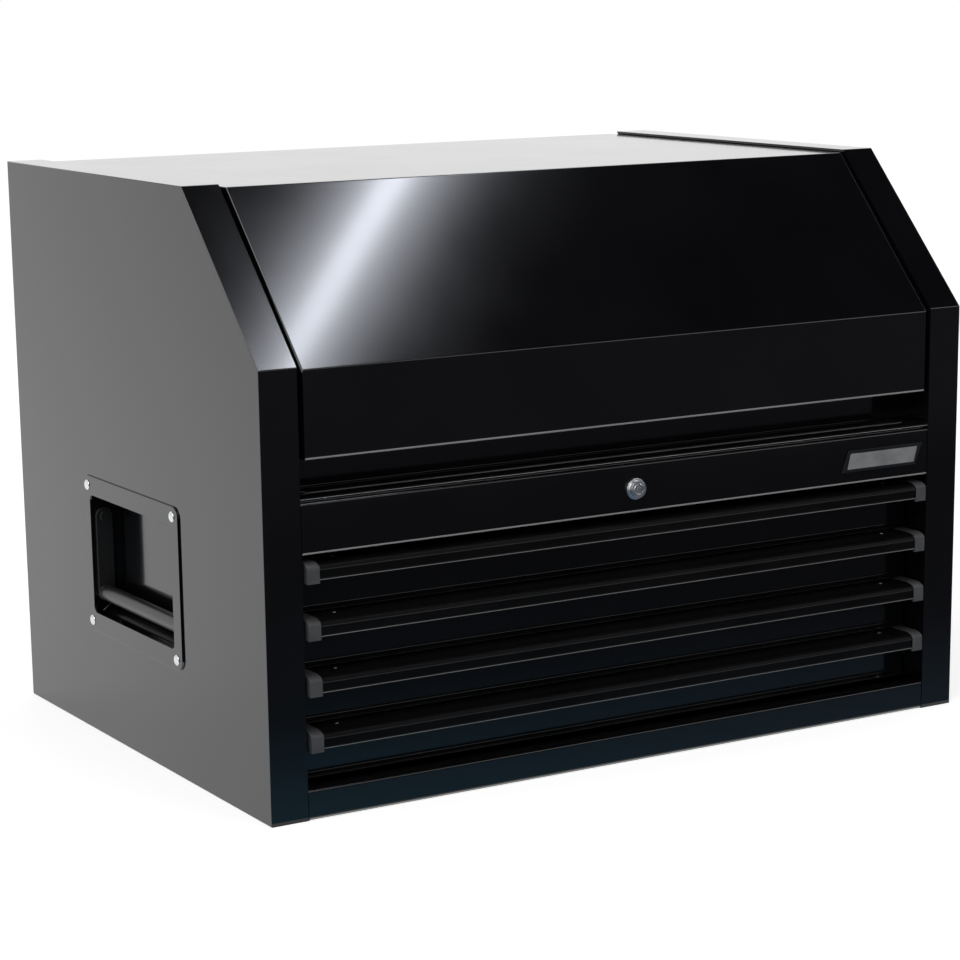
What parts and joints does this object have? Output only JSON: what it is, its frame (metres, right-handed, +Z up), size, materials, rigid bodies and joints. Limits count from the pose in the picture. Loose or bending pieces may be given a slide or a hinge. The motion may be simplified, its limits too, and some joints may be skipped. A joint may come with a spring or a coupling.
{
  "type": "machinist tool chest",
  "caption": "Top tool chest of folded black sheet steel: sloped lid over a till, shallow drawers with full-width pulls, lock rail, drop handles in the sides.",
  "frame": {"origin": "centre of the underside, on the surface it stands on, midway between the front face and the back panel", "axes": "+X to the right as seen from the front, +Y towards the back, +Z up"},
  "size_m": [0.6872, 0.4997, 0.487],
  "materials": {
    "body_paint": "semi-gloss black powder coat",
    "pull_metal": "satin black coat on the extruded pulls",
    "cap_plastic": "matte mid-grey moulded plastic",
    "zinc": "zinc-plated steel",
    "chrome": "polished chrome plate",
    "mat": "ribbed black rubber matting",
    "badge": "plain plate with a silver field"
  },
  "bodies": {
    "chest": {"left_side_panel": "body_paint", "right_side_panel": "body_paint", "back_panel": "body_paint", "bottom_panel": "body_paint", "lock_rail": "body_paint", "till_floor": "body_paint", "till_front": "body_paint", "till_mat": "mat", "left_slide_upright": "body_paint", "right_slide_upright": "body_paint", "slide_outer_members": "zinc", "hinge_body_leaf": "zinc", "hinge_pin": "zinc", "badge_plate": "badge", "lock_housing": "chrome", "lock_nut": "zinc", "left_handle_dish": "body_paint", "right_handle_dish": "body_paint", "bail_pivot_pins": "zinc", "handle_rivets": "chrome", "lid_bumpers": "mat"},
    "lid": {"lid_shell": "body_paint", "lid_stiffener": "body_paint", "lid_catch": "zinc", "hinge_lid_leaf": "zinc", "strut_upper_studs": "zinc"},
    "left_cylinder": {"left_strut_cylinder": "body_paint"},
    "left_rod": {"left_strut_rod": "chrome"},
    "right_cylinder": {"right_strut_cylinder": "body_paint"},
    "right_rod": {"right_strut_rod": "chrome"},
    "drawer_1": {"drawer_1": "body_paint", "pull_1": "pull_metal", "pull_caps_1": "cap_plastic", "drawer_mat_1": "mat", "slide_inner_1": "zinc"},
    "middle_1": {"slide_middle_1": "zinc"},
    "drawer_2": {"drawer_2": "body_paint", "pull_2": "pull_metal", "pull_caps_2": "cap_plastic", "drawer_mat_2": "mat", "slide_inner_2": "zinc"},
    "middle_2": {"slide_middle_2": "zinc"},
    "drawer_3": {"drawer_3": "body_paint", "pull_3": "pull_metal", "pull_caps_3": "cap_plastic", "drawer_mat_3": "mat", "slide_inner_3": "zinc"},
    "middle_3": {"slide_middle_3": "zinc"},
    "drawer_4": {"drawer_4": "body_paint", "pull_4": "pull_metal", "pull_caps_4": "cap_plastic", "drawer_mat_4": "mat", "slide_inner_4": "zinc"},
    "middle_4": {"slide_middle_4": "zinc"},
    "lock": {"lock_plug": "chrome", "lock_rod": "zinc"},
    "lock_bar": {"drawer_lock_bar": "zinc"},
    "latch": {"lid_latch_slide": "zinc"},
    "left_bail": {"left_handle_bail": "body_paint"},
    "right_bail": {"right_handle_bail": "body_paint"}
  },
  "joints": [
    {"name": "lid_open", "type": "hinge", "parent": "chest", "child": "lid", "pos_m": [0, 0.2465, 0.4809], "axis": [-1, 0, 0], "range_deg": [0, 80]},
    {"name": "drawer_1_out", "type": "slide", "parent": "chest", "child": "drawer_1", "axis": [0, -1, 0], "range_m": [0, 0.38]},
    {"name": "middle_1_out", "type": "slide", "parent": "chest", "child": "middle_1", "axis": [0, -1, 0], "range_m": [0, 0.19]},
    {"name": "drawer_2_out", "type": "slide", "parent": "chest", "child": "drawer_2", "axis": [0, -1, 0], "range_m": [0, 0.38]},
    {"name": "middle_2_out", "type": "slide", "parent": "chest", "child": "middle_2", "axis": [0, -1, 0], "range_m": [0, 0.19]},
    {"name": "drawer_3_out", "type": "slide", "parent": "chest", "child": "drawer_3", "axis": [0, -1, 0], "range_m": [0, 0.38]},
    {"name": "middle_3_out", "type": "slide", "parent": "chest", "child": "middle_3", "axis": [0, -1, 0], "range_m": [0, 0.19]},
    {"name": "drawer_4_out", "type": "slide", "parent": "chest", "child": "drawer_4", "axis": [0, -1, 0], "range_m": [0, 0.38]},
    {"name": "middle_4_out", "type": "slide", "parent": "chest", "child": "middle_4", "axis": [0, -1, 0], "range_m": [0, 0.19]},
    {"name": "left_strut_tilt", "type": "hinge", "parent": "chest", "child": "left_cylinder", "pos_m": [-0.288, 0.2075, 0.306], "axis": [-1, 0, 0], "range_deg": [0, 23.38]},
    {"name": "left_strut_extend", "type": "slide", "parent": "left_cylinder", "child": "left_rod", "axis": [0, -0.3455, 0.9384], "range_m": [0, 0.0943]},
    {"name": "right_strut_tilt", "type": "hinge", "parent": "chest", "child": "right_cylinder", "pos_m": [0.288, 0.2075, 0.306], "axis": [-1, 0, 0], "range_deg": [0, 23.38]},
    {"name": "right_strut_extend", "type": "slide", "parent": "right_cylinder", "child": "right_rod", "axis": [0, -0.3455, 0.9384], "range_m": [0, 0.0943]},
    {"name": "lock_turn", "type": "hinge", "parent": "chest", "child": "lock", "pos_m": [0, -0.2445, 0.2318], "axis": [0, 1, 0], "range_deg": [0, 90]},
    {"name": "lock_bar_lift", "type": "slide", "parent": "chest", "child": "lock_bar", "axis": [0, 0, 1], "range_m": [0, 0.01697]},
    {"name": "latch_shift", "type": "slide", "parent": "chest", "child": "latch", "axis": [1, 0, 0], "range_m": [0, 0.01697]},
    {"name": "left_bail_swing", "type": "hinge", "parent": "chest", "child": "left_bail", "pos_m": [-0.3304, 0.004, 0.1925], "axis": [0, 1, 0], "range_deg": [0, 90]},
    {"name": "right_bail_swing", "type": "hinge", "parent": "chest", "child": "right_bail", "pos_m": [0.3304, 0.004, 0.1925], "axis": [0, -1, 0], "range_deg": [0, 90]}
  ],
  "couplings": [
    {"joint": "middle_1_out", "follows": "drawer_1_out", "ratio": 0.5},
    {"joint": "middle_2_out", "follows": "drawer_2_out", "ratio": 0.5},
    {"joint": "middle_3_out", "follows": "drawer_3_out", "ratio": 0.5},
    {"joint": "middle_4_out", "follows": "drawer_4_out", "ratio": 0.5},
    {"joint": "left_strut_tilt", "follows": "lid_open", "ratio": 0.29209},
    {"joint": "left_strut_extend", "follows": "lid_open", "m_per_rad": 0.067466},
    {"joint": "right_strut_tilt", "follows": "lid_open", "ratio": 0.29209},
    {"joint": "right_strut_extend", "follows": "lid_open", "m_per_rad": 0.067466},
    {"joint": "lock_turn", "follows": "lock_bar_lift", "rad_per_m": 92.56},
    {"joint": "latch_shift", "follows": "lock_bar_lift", "ratio": 1}
  ]
}
